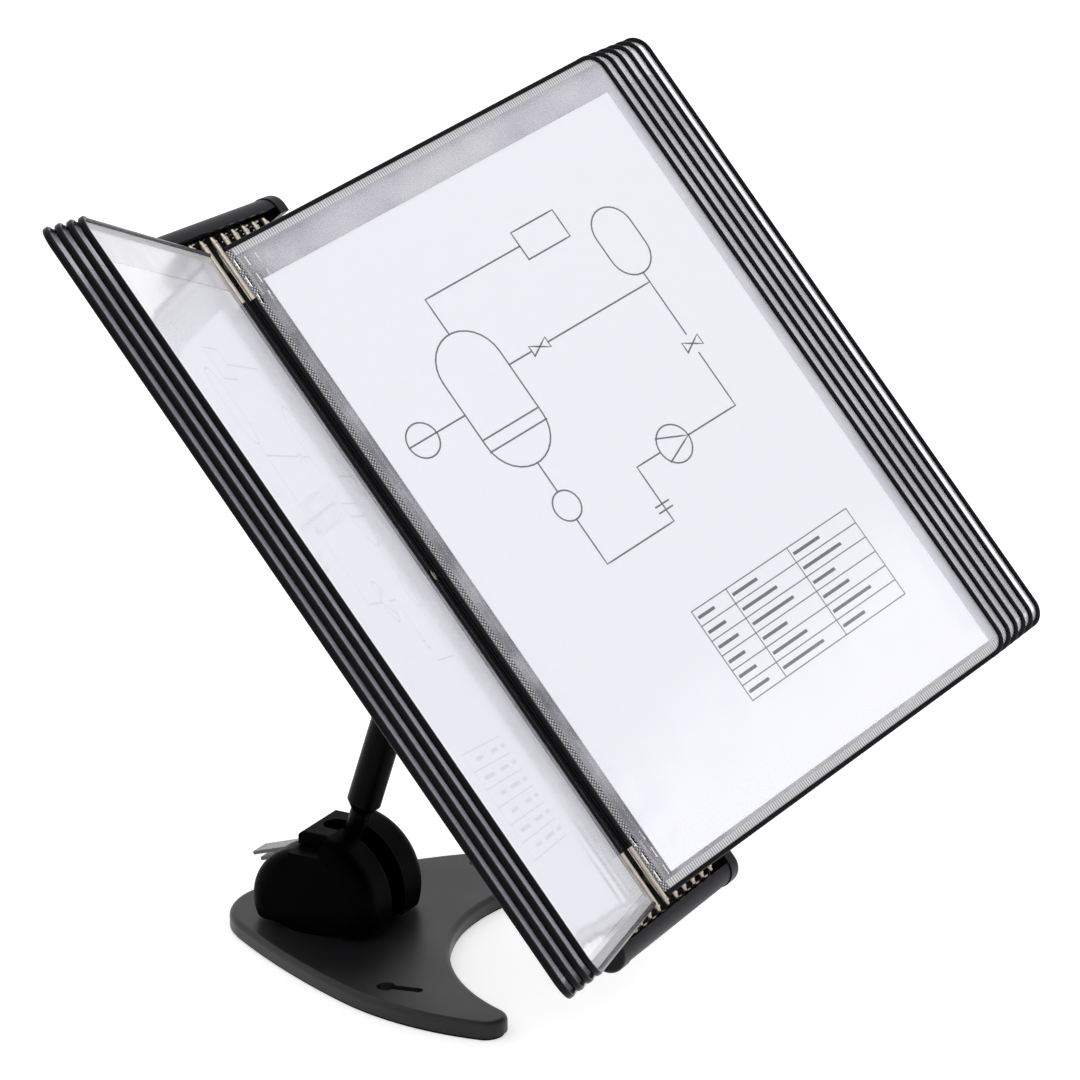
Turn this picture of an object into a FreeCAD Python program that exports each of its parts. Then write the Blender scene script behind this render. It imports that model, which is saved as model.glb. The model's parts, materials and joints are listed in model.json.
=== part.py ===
import FreeCAD, Part
import math
import os
import re

from FreeCAD import Placement, Rotation, Vector

# Desktop display pocket stand. Ten two-sided A4 pockets hang on two rows of bent steel hooks,
# and turn like the leaves of a book. A tilting arm carries them over a heavy crescent base.
# World frame: +Z up, origin on the table under the hub, the base's horns towards -Y.

os.makedirs("parts", exist_ok=True)
doc = FreeCAD.newDocument("display_pocket_stand")
sheet = doc.addObject("Spreadsheet::Sheet", "Sizes")

SIZES = {
    # Base plate, seen from above, and the pad under it
    "plate_thick": 6.5,
    "plate_edge_round": 2.4,
    "pad_thick": 1.5,
    "pad_inset": 1.2,
    "rear_radius": 32.0,
    "rear_reach": 47.0,
    "rear_half_angle": 46.0,
    "flank_radius": 400.0,
    "flank_turn": 11.4,
    "side_radius": 125.0,
    "notch_radius": 90.0,
    "notch_depth": 55.0,
    "horn_round": 9.0,
    "slot_offset": 68.0,
    "slot_centre_back": 50.0,
    "slot_long": 20.0,
    "slot_wide": 8.0,
    # Turntable and the bolt that the hub swivels on
    "hub_yaw": -13.0,
    "turn_gap": 0.2,
    "turntable_radius": 27.0,
    "turntable_thick": 2.0,
    "swivel_radius": 5.0,
    "swivel_head_radius": 9.5,
    "swivel_head_thick": 2.6,
    "swivel_nut_radius": 8.5,
    "swivel_nut_thick": 4.2,
    "running_gap": 0.1,
    "head_gap": 0.2,
    "well_gap": 0.5,
    # Hub: two cheeks with a slot between, a stepped cover and a clamp lever
    "cheek_gap_half": 5.6,
    "cheek_outer": 26.0,
    "cheek_round": 9.0,
    "drum_radius": 31.2,
    "drum_height": 9.4,
    "lobe_radius": 23.0,
    "lobe_back": 6.5,
    "lobe_height": 8.5,
    "step_front": -7.0,
    "step_back": 8.0,
    "step_height": 33.0,
    "cover_half": 15.0,
    "cover_thick": 5.5,
    "cover_slot_end": 5.0,
    "cover_round": 2.0,
    "nut_well_radius": 10.5,
    "nut_well_height": 5.6,
    "pivot_back": -2.5,
    "pivot_height": 14.0,
    "pivot_radius": 4.0,
    "pivot_blind": 18.0,
    "pivot_head_radius": 6.5,
    "pivot_head_thick": 4.0,
    "pivot_head_at": 18.0,
    "lever_pin_back": 14.0,
    "lever_pin_height": 25.7,
    "lever_pin_radius": 1.5,
    "lever_pin_half": 12.0,
    "lever_half": 5.0,
    "lever_boss_radius": 4.0,
    "lever_long": 25.5,
    "lever_thick": 1.6,
    "lever_layer_gap": 1.4,
    "lever_layer_step": 3.0,
    "lever_web": 15.0,
    "lever_droop": 18.5,
    # Arm: a tube with an eye fitting in each end
    "arm_lean": 18.0,
    "arm_long": 117.4,
    "tube_radius": 7.4,
    "tube_bore": 6.0,
    "tube_low": 39.7,
    "tube_high": 99.0,
    "spigot_long": 14.0,
    "spigot_gap": 0.05,
    "taper_long": 4.2,
    "neck_radius": 4.6,
    "eye_radius": 8.0,
    "eye_half": 5.0,
    "head_bolt_radius": 3.0,
    # Holder frame: its lean, and the knuckle's place behind the hooks
    "holder_lean": 40.1,
    "knuckle_drop": 17.0,
    "knuckle_depth": 36.0,
    "clevis_half": 13.0,
    "clevis_plate_half": 23.0,
    "clevis_plate_thick": 3.0,
    "ear_inner": 5.3,
    "ear_thick": 5.0,
    "ear_radius": 8.6,
    "knob_radius": 14.0,
    "knob_thick": 11.0,
    "knob_lobe_radius": 4.4,
    "knob_stand": 0.3,
    "knob_boss_radius": 6.5,
    "knob_rail_gap": 0.8,
    "knob_lobe_step": 3.0,
    "stud_end": 7.0,
    "knuckle_nut_radius": 5.5,
    "knuckle_nut_thick": 4.0,
    "rail_half_wide": 15.0,
    "rail_deep": 12.0,
    "rail_wall": 1.5,
    "rail_end_gap": 3.5,
    "rail_round": 2.5,
    "plug_thick": 2.0,
    # Brackets: half-round channels that hold the hooks
    "bar_rise": 9.1,
    "low_bar_rise": 5.3,
    "bar_centre_back": 4.8,
    "bar_radius": 7.2,
    "bar_wall": 1.7,
    "bar_half_long": 46.0,
    "bar_leg": 6.5,
    "tab_half_wide": 14.0,
    "tab_long": 15.0,
    "cap_radius": 7.7,
    "cap_thick": 8.0,
    "cap_skirt": 3.6,
    "cap_round": 2.4,
    "screw_radius": 1.9,
    "screw_head_radius": 3.5,
    "screw_head_thick": 2.0,
    "screw_long": 6.0,
    "screw_spread": 8.0,
    "screw_inset": 5.0,
    "hook_radius": 1.1,
    "hook_bend": 3.0,
    "hook_rise": 8.3,
    "low_hook_rise": 5.3,
    "hook_depth": 15.7,
    "collar_radius": 1.6,
    "collar_thick": 1.0,
    "collar_gap": 0.3,
    # Pockets
    "pin_pitch": 8.0,
    "right_rest_angle": 21.4,
    "right_fan_angle": 0.155,
    "left_rest_angle": 27.0,
    "left_fan_angle": 0.165,
    "rod_radius": 1.5,
    "rod_bore_depth": 18.0,
    "rod_past": 2.6,
    "sleeve_radius": 1.75,
    "sleeve_gap": 0.05,
    "sleeve_end": 24.2,
    "edging_radius": 1.05,
    "edging_bend": 8.0,
    "edging_start": 1.9,
    "strip_thick": 2.6,
    "strip_half_wide": 1.05,
    "strip_round": 0.8,
    "strip_past_bend": 3.0,
    "film_gap": 0.05,
    "film_half_thick": 0.7,
    "foil_thick": 0.3,
    "seam_wide": 3.2,
    "paper_wide": 210.0,
    "paper_high": 297.0,
    "paper_thick": 0.2,
    "paper_left": 10.35,
    "paper_right_gap": 6.1,
    "paper_top_gap": 17.4,
    "paper_low_gap": 5.3,
    "eyelet_radius": 2.8,
    "eyelet_hole": 2.1,
    "eyelet_thick": 0.4,
    "eyelet_shift": 0.8,
}
# Sizes that follow from others: the A4 sheet sets the pocket, and the pocket sets the holder.
DERIVED = {
    "pocket_wide": "=paper_left + paper_wide + paper_right_gap + edging_radius",
    "pocket_half_high": "=(paper_high + paper_top_gap + paper_low_gap) / 2 + edging_radius",
    "hook_height": "=pocket_half_high + hook_rise",
    "low_hook_height": "=pocket_half_high + low_hook_rise",
    "hook_tip": "=pocket_half_high + edging_radius - hook_depth",
    "bar_height": "=pocket_half_high + bar_rise",
    "low_bar_height": "=pocket_half_high + low_bar_rise",
    "rail_high": "=bar_height - rail_end_gap",
    "rail_low": "=low_bar_height - rail_end_gap",
}
RIGHT_POCKETS = 6
LEFT_POCKETS = 4

ALIASES = {**SIZES, **DERIVED}
for row, (alias, value) in enumerate(ALIASES.items(), start=1):
    sheet.set(f"A{row}", alias)
    sheet.set(f"B{row}", str(value))
    sheet.setAlias(f"B{row}", alias)
doc.recompute()


def size(alias):
    return float(sheet.get(alias))


def formula(text):
    """Put the sheet's name before each size in a formula."""
    return re.sub(r"[a-z_]+", lambda word: "Sizes." + word[0] if word[0] in ALIASES else word[0], text)


def bind(item, prop, text):
    item.setExpression(prop, formula(text))


def bind_base(item, place):
    for axis, text in zip("xyz", place):
        bind(item, "Placement.Base." + axis, text)


TURNED_TO = {
    "x": Rotation(Vector(0, 1, 0), 90),
    "y": Rotation(Vector(1, 0, 0), -90),
    "z": Rotation(),
}


def block(low, spans):
    """A box from its low corner and its three spans, each a formula."""
    item = doc.addObject("Part::Box", "Block")
    for prop, text in zip(("Length", "Width", "Height"), spans):
        bind(item, prop, text)
    bind_base(item, low)
    return item


def rod(axis, radius, span, start):
    """A cylinder along one axis, from the centre of its low end."""
    item = doc.addObject("Part::Cylinder", "Rod")
    item.Placement = Placement(Vector(), TURNED_TO[axis])
    bind(item, "Radius", radius)
    bind(item, "Height", span)
    bind_base(item, start)
    return item


def cone(axis, low_radius, high_radius, span, start):
    item = doc.addObject("Part::Cone", "Taper")
    item.Placement = Placement(Vector(), TURNED_TO[axis])
    bind(item, "Radius1", low_radius)
    bind(item, "Radius2", high_radius)
    bind(item, "Height", span)
    bind_base(item, start)
    return item


def bend(ring_radius, wire_radius, centre, turned):
    """A quarter of a ring, from its own +X round to its own +Y, then turned into place."""
    item = doc.addObject("Part::Torus", "Bend")
    item.Placement = Placement(Vector(), turned)
    bind(item, "Radius1", ring_radius)
    bind(item, "Radius2", wire_radius)
    item.Angle3 = 90
    bind_base(item, centre)
    return item


def fuse(*items):
    item = doc.addObject("Part::MultiFuse", "Joined")
    item.Shapes = list(items)
    item.Refine = True
    return item


def cut(base, *tools):
    item = doc.addObject("Part::Cut", "Cut")
    item.Base = base
    item.Tool = tools[0] if len(tools) == 1 else fuse(*tools)
    item.Refine = True
    return item


def overlap(base, tool):
    item = doc.addObject("Part::Common", "Kept")
    item.Base = base
    item.Tool = tool
    return item


def group(*items):
    item = doc.addObject("Part::Compound", "Group")
    item.Links = list(items)
    return item


def rounded(base, radius, wanted):
    """Fillet the edges that wanted() picks."""
    doc.recompute()
    item = doc.addObject("Part::Fillet", "Rounded")
    item.Base = base
    chosen = [n for n, edge in enumerate(base.Shape.Edges, start=1) if wanted(edge)]
    item.Edges = [(n, radius, radius) for n in chosen]
    return item


def sketch_on(body, role, name):
    """An empty sketch on one of the body's own origin planes."""
    sketch = body.newObject("Sketcher::SketchObject", name)
    plane = [face for face in body.Origin.OriginFeatures if face.Role == role][0]
    sketch.AttachmentSupport = [(plane, "")]
    sketch.MapMode = "FlatFace"
    return sketch


def padded(name, role, edges, length, from_plane="0"):
    """A body with one pad of an outline; from_plane lifts its sketch off the origin plane."""
    body = doc.addObject("PartDesign::Body", name + "_body")
    sketch = sketch_on(body, role, name + "_outline")
    for edge in edges:
        sketch.addGeometry(edge, False)
    bind(sketch, "AttachmentOffset.Base.z", from_plane)
    pad = body.newObject("PartDesign::Pad", name + "_pad")
    pad.Profile = sketch
    bind(pad, "Length", length)
    doc.recompute()
    return body


def round_edges(body, radius, wanted):
    """Fillet the edges of a body whose boxes wanted() picks."""
    base = body.Tip
    edges = [f"Edge{n}" for n, edge in enumerate(base.Shape.Edges, start=1) if wanted(edge.BoundBox)]
    fillet = body.newObject("PartDesign::Fillet", body.Name + "_edge")
    fillet.Base = (base, edges)
    bind(fillet, "Radius", radius)
    doc.recompute()


NODES = []


def place(item, label, frame):
    """Name a finished sub-part and set it in its frame."""
    item.Label = label
    item.Placement = frame.multiply(item.Placement) if item.isDerivedFrom("PartDesign::Body") else frame
    NODES.append(item)


# Frames, each on the one before: hub, arm, holder
hub_floor = size("pad_thick") + size("plate_thick") + size("turn_gap") + size("turntable_thick")
HUB = Placement(Vector(0, 0, hub_floor), Rotation(Vector(0, 0, 1), size("hub_yaw")))
WORLD = Placement()
ARM = HUB.multiply(Placement(
    Vector(0, size("pivot_back"), size("pivot_height")),
    Rotation(Vector(1, 0, 0), size("arm_lean"))))
KNUCKLE = ARM.multiply(Placement(
    Vector(0, 0, size("arm_long")),
    Rotation(Vector(1, 0, 0), 90 - size("holder_lean") - size("arm_lean"))))
HOLDER = KNUCKLE.multiply(Placement(
    Vector(0, size("knuckle_drop"), size("knuckle_depth")), Rotation()))


def pocket_frame(number):
    """Pockets 1 to 4 lie on the left stack, turned over, and the others on the right. Each stack
    closes a little towards its outer edge, where the pockets rest on each other."""
    step = number - (LEFT_POCKETS + RIGHT_POCKETS + 1) / 2
    if number > LEFT_POCKETS:
        angle = size("right_rest_angle") + size("right_fan_angle") * (number - LEFT_POCKETS - 1)
    else:
        angle = 180 - size("left_rest_angle") - size("left_fan_angle") * (LEFT_POCKETS - number)
    turn = Rotation(Vector(0, 1, 0), -angle)
    return HOLDER.multiply(Placement(Vector(step * size("pin_pitch"), 0, 0), turn))


def polar(centre, radius, degrees):
    angle = math.radians(degrees)
    return Vector(centre.x + radius * math.cos(angle), centre.y + radius * math.sin(angle), 0)


def arc(centre, radius, start, end):
    """A circular edge from one angle to another, in degrees, either way round."""
    middle = polar(centre, radius, (start + end) / 2)
    return Part.Arc(polar(centre, radius, start), middle, polar(centre, radius, end))


def mirrored(point):
    return Vector(-point.x, point.y, 0)


def meeting_point(first, first_reach, second, second_reach):
    """The point at the given distances from two centres, on the +X side."""
    along = second - first
    apart = along.Length
    along = along.normalize()
    before = (first_reach ** 2 - second_reach ** 2 + apart ** 2) / (2 * apart)
    beside = math.sqrt(first_reach ** 2 - before ** 2)
    return first + along * before + Vector(-along.y, along.x, 0) * beside


def angle_at(centre, point):
    return math.degrees(math.atan2(point.y - centre.y, point.x - centre.x))


def crescent(inset):
    """The base's outline, or one that lies inset from it: tangent arcs on the right, then mirrored."""
    rear_end = 90 - size("rear_half_angle")
    flank_end = rear_end - size("flank_turn")
    rear = Vector(0, size("rear_reach") - size("rear_radius"), 0)
    flank = polar(rear, size("rear_radius") - size("flank_radius"), rear_end)
    side = polar(flank, size("flank_radius") - size("side_radius"), flank_end)
    notch = Vector(0, -size("notch_depth") - size("notch_radius"), 0)
    horn = meeting_point(side, size("side_radius") - size("horn_round"),
                         notch, size("notch_radius") + size("horn_round"))
    side_end = angle_at(side, horn)
    horn_end = angle_at(notch, horn)
    right = [
        arc(flank, size("flank_radius") - inset, rear_end, flank_end),
        arc(side, size("side_radius") - inset, flank_end, side_end),
        arc(horn, size("horn_round") - inset, side_end, horn_end - 180),
    ]
    left = [Part.Arc(mirrored(edge.EndPoint), mirrored(edge.value(
        (edge.FirstParameter + edge.LastParameter) / 2)), mirrored(edge.StartPoint)) for edge in right]
    return [
        arc(rear, size("rear_radius") - inset, 180 - rear_end, rear_end),
        *right,
        arc(notch, size("notch_radius") + inset, horn_end, 180 - horn_end),
        *left,
    ]


def base_pieces():
    plate = padded("base_plate", "XY_Plane", crescent(0), "plate_thick", "pad_thick")
    top = size("pad_thick") + size("plate_thick")
    round_edges(plate, "plate_edge_round", lambda box: abs(box.ZMin - top) < 1e-6)
    holes = [
        rod("z", "swivel_radius + running_gap", "plate_thick * 2", ("0", "0", "pad_thick - 1")),
        rod("z", "swivel_head_radius + well_gap", "swivel_head_thick + 2 * head_gap",
            ("0", "0", "pad_thick")),
    ]
    for side in ("-", ""):
        # A teardrop: its wide round end towards the hub.
        holes.append(rod("z", "slot_wide / 2", "plate_thick * 2",
                         (side + "slot_offset", "-slot_centre_back + slot_long / 2 - slot_wide / 2",
                          "-1")))
        holes.append(rod("z", "slot_wide / 4", "plate_thick * 2",
                         (side + "slot_offset", "-slot_centre_back - slot_long / 2 + slot_wide / 4",
                          "-1")))
        holes.append(block((side + "slot_offset - slot_wide / 4",
                            "-slot_centre_back - slot_long / 2 + slot_wide / 4", "-1"),
                           ("slot_wide / 2", "slot_long - slot_wide * 3 / 4", "plate_thick * 2")))
    place(cut(plate, *holes), "base_plate", WORLD)

    pad = padded("base_pad", "XY_Plane", crescent(size("pad_inset")), "pad_thick")
    pad_holes = []
    for side in ("-", ""):
        pad_holes.append(block((side + "slot_offset - slot_wide / 2 - 1",
                                "-slot_centre_back - slot_long / 2 - 1", "-1"),
                               ("slot_wide + 2", "slot_long + 2", "pad_thick + 2")))
    place(cut(pad, *pad_holes), "base_pad", WORLD)

    bolt = fuse(
        rod("z", "swivel_head_radius", "swivel_head_thick", ("0", "0", "pad_thick + head_gap")),
        rod("z", "swivel_radius", "plate_thick + turn_gap + turntable_thick + swivel_nut_thick"
            " - head_gap", ("0", "0", "pad_thick + head_gap")))
    nut_floor = "pad_thick + plate_thick + turn_gap + turntable_thick + head_gap"
    nut = cut(rod("z", "swivel_nut_radius", "swivel_nut_thick", ("0", "0", nut_floor)),
              rod("z", "swivel_radius + running_gap", "swivel_nut_thick * 2", ("0", "0", nut_floor)))
    place(group(bolt, nut), "swivel_bolt", WORLD)


def hub_hull():
    """Both cheeks in one: a drum in front, a lower lobe behind, and a step on top for the cover."""
    span = "2 * cheek_outer"
    drum = rod("x", "drum_radius", span, ("-cheek_outer", "0", "drum_height"))
    drum = rounded(drum, size("cheek_round"), is_rim)
    front = overlap(drum, block(("-cheek_outer - 1", "-drum_radius - 1", "0"),
                                ("2 * cheek_outer + 2", "drum_radius + 1 + step_back", "2 * drum_radius")))
    lobe = rod("x", "lobe_radius", span, ("-cheek_outer", "lobe_back", "lobe_height"))
    lobe = rounded(lobe, size("cheek_round"), is_rim)
    rear = overlap(lobe, block(("-cheek_outer - 1", "lobe_back - lobe_radius - 1", "0"),
                               ("2 * cheek_outer + 2", "2 * lobe_radius + 2", "lobe_height + lobe_radius + 1")))
    step = block(("-cheek_outer - 1", "step_front", "step_height"),
                 ("2 * cheek_outer + 2", "60", "20"))
    return cut(fuse(front, rear), step)


def is_rim(edge):
    """A full circle in a plane across X."""
    return edge.BoundBox.XLength < 1e-6 and edge.BoundBox.YLength > 1


def hub_pieces():
    table = cut(
        rod("z", "turntable_radius", "turntable_thick", ("0", "0", "-turntable_thick")),
        rod("z", "swivel_radius + running_gap", "turntable_thick * 3", ("0", "0", "-turntable_thick * 2")))
    place(table, "hub_turntable", HUB)

    pivot = ("pivot_back", "pivot_height")
    hull = hub_hull()
    pin_span = "2 * lever_pin_half + 2 * running_gap"
    pin_hole = ("-lever_pin_half - running_gap", "lever_pin_back", "lever_pin_height")
    for side, name in (("-", "hub_cheek_left"), ("", "hub_cheek_right")):
        start = "-cheek_outer - 1" if side else "cheek_gap_half"
        half = overlap(hull, block((start, "-60", "-1"), ("cheek_outer + 1 - cheek_gap_half", "120", "80")))
        tools = [
            rod("z", "nut_well_radius", "nut_well_height + 1", ("0", "0", "-1")),
            rod("x", "lever_pin_radius + running_gap", pin_span, pin_hole),
            rod("x", "pivot_radius + running_gap", "pivot_blind" if side else "cheek_outer * 2",
                ("-pivot_blind" if side else "0", *pivot)),
        ]
        if not side:
            tools.append(rod("x", "pivot_head_radius + well_gap", "cheek_outer", ("pivot_head_at", *pivot)))
        place(cut(half, *tools), name, HUB)

    # The cover closes the step on top and leaves a slot for the arm's neck.
    slab = block(("-cover_half", "step_front + head_gap", "step_height"),
                 ("2 * cover_half", "step_back - step_front + 1", "cover_thick"))
    slab = rounded(slab, size("cover_round"), lambda edge: edge.BoundBox.ZMin > size("step_height")
                   + size("cover_thick") - 0.01 and edge.BoundBox.YLength < 40
                   and edge.BoundBox.YMax > size("step_front") + 1)
    slot_back = "cover_slot_end - cheek_gap_half"
    slot = fuse(
        block(("-cheek_gap_half", "step_front - 5", "step_height - 5"),
              ("2 * cheek_gap_half", "5 - step_front + cover_slot_end - cheek_gap_half", "cover_thick + 10")),
        rod("z", "cheek_gap_half", "cover_thick + 10", ("0", slot_back, "step_height - 5")))
    place(cut(slab, slot), "hub_cover", HUB)

    bolt = fuse(
        rod("x", "pivot_radius", "pivot_blind - 0.5 + pivot_head_at",
            ("-pivot_blind + 0.5", *pivot)),
        rod("x", "pivot_head_radius", "pivot_head_thick", ("pivot_head_at", *pivot)))
    pin = rod("x", "lever_pin_radius", "2 * lever_pin_half",
              ("-lever_pin_half", "lever_pin_back", "lever_pin_height"))
    place(group(bolt, pin), "hub_fasteners", HUB)

    # The clamp lever is two thin layers on one boss, and points down to the rear.
    lever_frame = HUB.multiply(Placement(
        Vector(0, size("lever_pin_back"), size("lever_pin_height")),
        Rotation(Vector(1, 0, 0), -size("lever_droop"))))
    upper = block(("-lever_half", "0", "lever_layer_gap / 2"),
                  ("2 * lever_half", "lever_long", "lever_thick"))
    lower = block(("-lever_half", "0", "-lever_layer_gap / 2 - lever_thick"),
                  ("2 * lever_half", "lever_long - lever_layer_step", "lever_thick"))
    web = block(("-lever_half", "0", "-lever_layer_gap / 2 - 0.1"),
                ("2 * lever_half", "lever_web", "lever_layer_gap + 0.2"))
    boss = rod("x", "lever_boss_radius", "2 * lever_half", ("-lever_half", "0", "0"))
    eye = rod("x", "lever_pin_radius + running_gap", "4 * lever_half", ("-2 * lever_half", "0", "0"))
    place(cut(fuse(upper, lower, web, boss), eye), "clamp_lever", lever_frame)


def arm_pieces():
    tube = cut(
        rod("z", "tube_radius", "tube_high - tube_low", ("0", "0", "tube_low")),
        rod("z", "tube_bore", "tube_high - tube_low + 2", ("0", "0", "tube_low - 1")))
    place(tube, "arm_tube", ARM)

    neck = fuse(
        rod("x", "eye_radius", "2 * eye_half", ("-eye_half", "0", "0")),
        rod("z", "neck_radius", "tube_low - taper_long", ("0", "0", "0")),
        cone("z", "neck_radius", "tube_radius", "taper_long", ("0", "0", "tube_low - taper_long")),
        rod("z", "tube_bore - spigot_gap", "spigot_long", ("0", "0", "tube_low")))
    hole = rod("x", "pivot_radius + running_gap", "4 * eye_half", ("-2 * eye_half", "0", "0"))
    place(cut(neck, hole), "arm_neck", ARM)

    head = fuse(
        rod("x", "eye_radius", "2 * eye_half", ("-eye_half", "0", "arm_long")),
        rod("z", "neck_radius", "arm_long - tube_high", ("0", "0", "tube_high")),
        cone("z", "tube_radius", "neck_radius", "taper_long", ("0", "0", "tube_high")),
        rod("z", "tube_bore - spigot_gap", "spigot_long", ("0", "0", "tube_high - spigot_long")))
    hole = rod("x", "head_bolt_radius + running_gap", "4 * eye_half",
               ("-2 * eye_half", "0", "arm_long"))
    place(cut(head, hole), "arm_head_eye", ARM)


CLEVIS_SCREWS_AT = ("-knuckle_drop - clevis_plate_half + screw_inset",
                    "-knuckle_drop + clevis_plate_half - screw_inset")


def knuckle_pieces():
    pivot = ("-knuckle_drop", "-knuckle_depth")
    rail_back = "-bar_centre_back - bar_radius - rail_deep"
    plate = block(("-clevis_half", "-knuckle_drop - clevis_plate_half",
                   rail_back + " - clevis_plate_thick"),
                  ("2 * clevis_half", "2 * clevis_plate_half", "clevis_plate_thick"))
    ears = []
    for start in ("ear_inner", "-ear_inner - ear_thick"):
        ears.append(rod("x", "ear_radius", "ear_thick", (start, *pivot)))
        ears.append(block((start, "-knuckle_drop - ear_radius", "-knuckle_depth"),
                          ("ear_thick", "2 * ear_radius",
                           "knuckle_depth - bar_centre_back - bar_radius - rail_deep - 0.5")))
    hole = rod("x", "head_bolt_radius + running_gap", "4 * clevis_half", ("-2 * clevis_half", *pivot))
    screw_holes = [rod("z", "screw_radius + running_gap", "10", ("0", at, rail_back + " - 8"))
                   for at in CLEVIS_SCREWS_AT]
    place(cut(fuse(plate, *ears), hole, *screw_holes), "head_clevis", HOLDER)

    boss_start = "ear_inner + ear_thick + knob_stand"
    knob_start = "rail_half_wide + knob_rail_gap"
    lobes = []
    for turn in range(6):
        lobe = rod("x", "knob_lobe_radius", "knob_thick - knob_lobe_step",
                   (knob_start + " + knob_lobe_step", "0", "0"))
        reach = "(knob_radius - knob_lobe_radius)"
        bind(lobe, "Placement.Base.y", f"-knuckle_drop + {reach} * cos({turn * 60} deg)")
        bind(lobe, "Placement.Base.z", f"-knuckle_depth + {reach} * sin({turn * 60} deg)")
        lobes.append(lobe)
    knob = fuse(
        rod("x", "knob_radius - knob_lobe_radius", "knob_thick", (knob_start, *pivot)),
        rod("x", "knob_boss_radius", f"{knob_start} - ({boss_start}) + 1", (boss_start, *pivot)),
        rod("x", "head_bolt_radius", "2 * (ear_inner + ear_thick) + stud_end + 1",
            ("-ear_inner - ear_thick - stud_end", *pivot)),
        *lobes)
    place(knob, "head_knob", HOLDER)


def holder_pieces():
    rail_front = "-bar_centre_back - bar_radius"
    outside = block(("-rail_half_wide", "-rail_low", rail_front + " - rail_deep"),
                    ("2 * rail_half_wide", "rail_high + rail_low", "rail_deep"))
    outside = rounded(outside, size("rail_round"), lambda edge: edge.BoundBox.YLength > 100)
    inside = block(("-rail_half_wide + rail_wall", "-rail_low - 1",
                    rail_front + " - rail_deep + rail_wall"),
                   ("2 * rail_half_wide - 2 * rail_wall", "rail_high + rail_low + 2",
                    "rail_deep - 2 * rail_wall"))
    holes = []
    screws = []
    for end in ENDS:
        for across in ("screw_spread", "-screw_spread"):
            at = (across, from_bar(end, "bar_leg + tab_long / 2"))
            holes.append(rod("z", "screw_radius + running_gap", "rail_wall + 4",
                             (*at, rail_front + " - rail_wall - 2")))
            face = rail_front + " + bar_wall"
            screws.append(fuse(
                rod("z", "screw_head_radius", "screw_head_thick", (*at, face)),
                rod("z", "screw_radius", "screw_long", (*at, face + " - screw_long"))))
    clevis_face = rail_front + " - rail_deep - clevis_plate_thick"
    for at in CLEVIS_SCREWS_AT:
        holes.append(rod("z", "screw_radius + running_gap", "rail_wall + 4",
                         ("0", at, rail_front + " - rail_deep - 2")))
        screws.append(fuse(
            rod("z", "screw_head_radius", "screw_head_thick", ("0", at, clevis_face + " - screw_head_thick")),
            rod("z", "screw_radius", "screw_long", ("0", at, clevis_face))))
    place(cut(outside, inside, *holes), "spine_rail", HOLDER)

    nut_start = "-ear_inner - ear_thick - knob_stand - knuckle_nut_thick"
    pivot = ("-knuckle_drop", "-knuckle_depth")
    nut = cut(rod("x", "knuckle_nut_radius", "knuckle_nut_thick", (nut_start, *pivot)),
              rod("x", "head_bolt_radius + running_gap", "2 * knuckle_nut_thick",
                  (nut_start + " - 2", *pivot)))
    place(group(*screws, nut), "holder_fasteners", HOLDER)

    for end in ENDS:
        place(bracket(end), end + "_bracket", HOLDER)

    caps = [bracket_cap(end, side) for end in ENDS for side in ("", "-")]
    plugs = []
    for start in ("rail_high - plug_thick", "-rail_low"):
        plugs.append(block(("-rail_half_wide + rail_wall + running_gap", start,
                            rail_front + " - rail_deep + rail_wall + running_gap"),
                           ("2 * (rail_half_wide - rail_wall - running_gap)", "plug_thick",
                            "rail_deep - 2 * (rail_wall + running_gap)")))
    place(group(*caps, *plugs), "end_caps", HOLDER)

    hooks = []
    count = LEFT_POCKETS + RIGHT_POCKETS
    for number in range(count):
        across = f"{number - (count - 1) / 2} * pin_pitch"
        hooks += [hook(end, across) for end in ENDS]
    place(group(*hooks), "hook_pins", HOLDER)


ENDS = ("upper", "lower")


def from_bar(end, inward):
    """A height on the holder: that far from a bracket's centre, towards the middle."""
    return f"bar_height - ({inward})" if end == "upper" else f"-low_bar_height + ({inward})"


def bar_half(end, radius, long, start):
    """Half a cylinder along X, on the side of the bar's centre that faces away from the pockets."""
    whole = rod("x", radius, long, (start, from_bar(end, "0"), "-bar_centre_back"))
    low = "bar_height" if end == "upper" else "-low_bar_height - 20"
    return overlap(whole, block((start + " - 5", low, "-bar_centre_back - 20"), (long + " + 10", "20", "40")))


def inner_strip(end, span, start, across, thick, back):
    """A block from the bar's centre towards the middle, as wide as span; back is its rear face."""
    low = from_bar(end, span) if end == "upper" else from_bar(end, "0")
    return block((start, low, back), (across, span, thick))


def bracket(end):
    long = "2 * bar_half_long"
    start = "-bar_half_long"
    back = "-bar_centre_back - bar_radius"
    arch = cut(bar_half(end, "bar_radius", long, start),
               bar_half(end, "(bar_radius - bar_wall)", long, start))
    leg = inner_strip(end, "bar_leg", start, long, "bar_wall", back)
    tab = inner_strip(end, "(bar_leg + tab_long)", "-tab_half_wide", "2 * tab_half_wide", "bar_wall", back)
    holes = [rod("z", "screw_radius + running_gap", "10",
                 (across, from_bar(end, "bar_leg + tab_long / 2"), back + " - 5"))
             for across in ("screw_spread", "-screw_spread")]
    return cut(fuse(arch, leg, tab), *holes)


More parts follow.
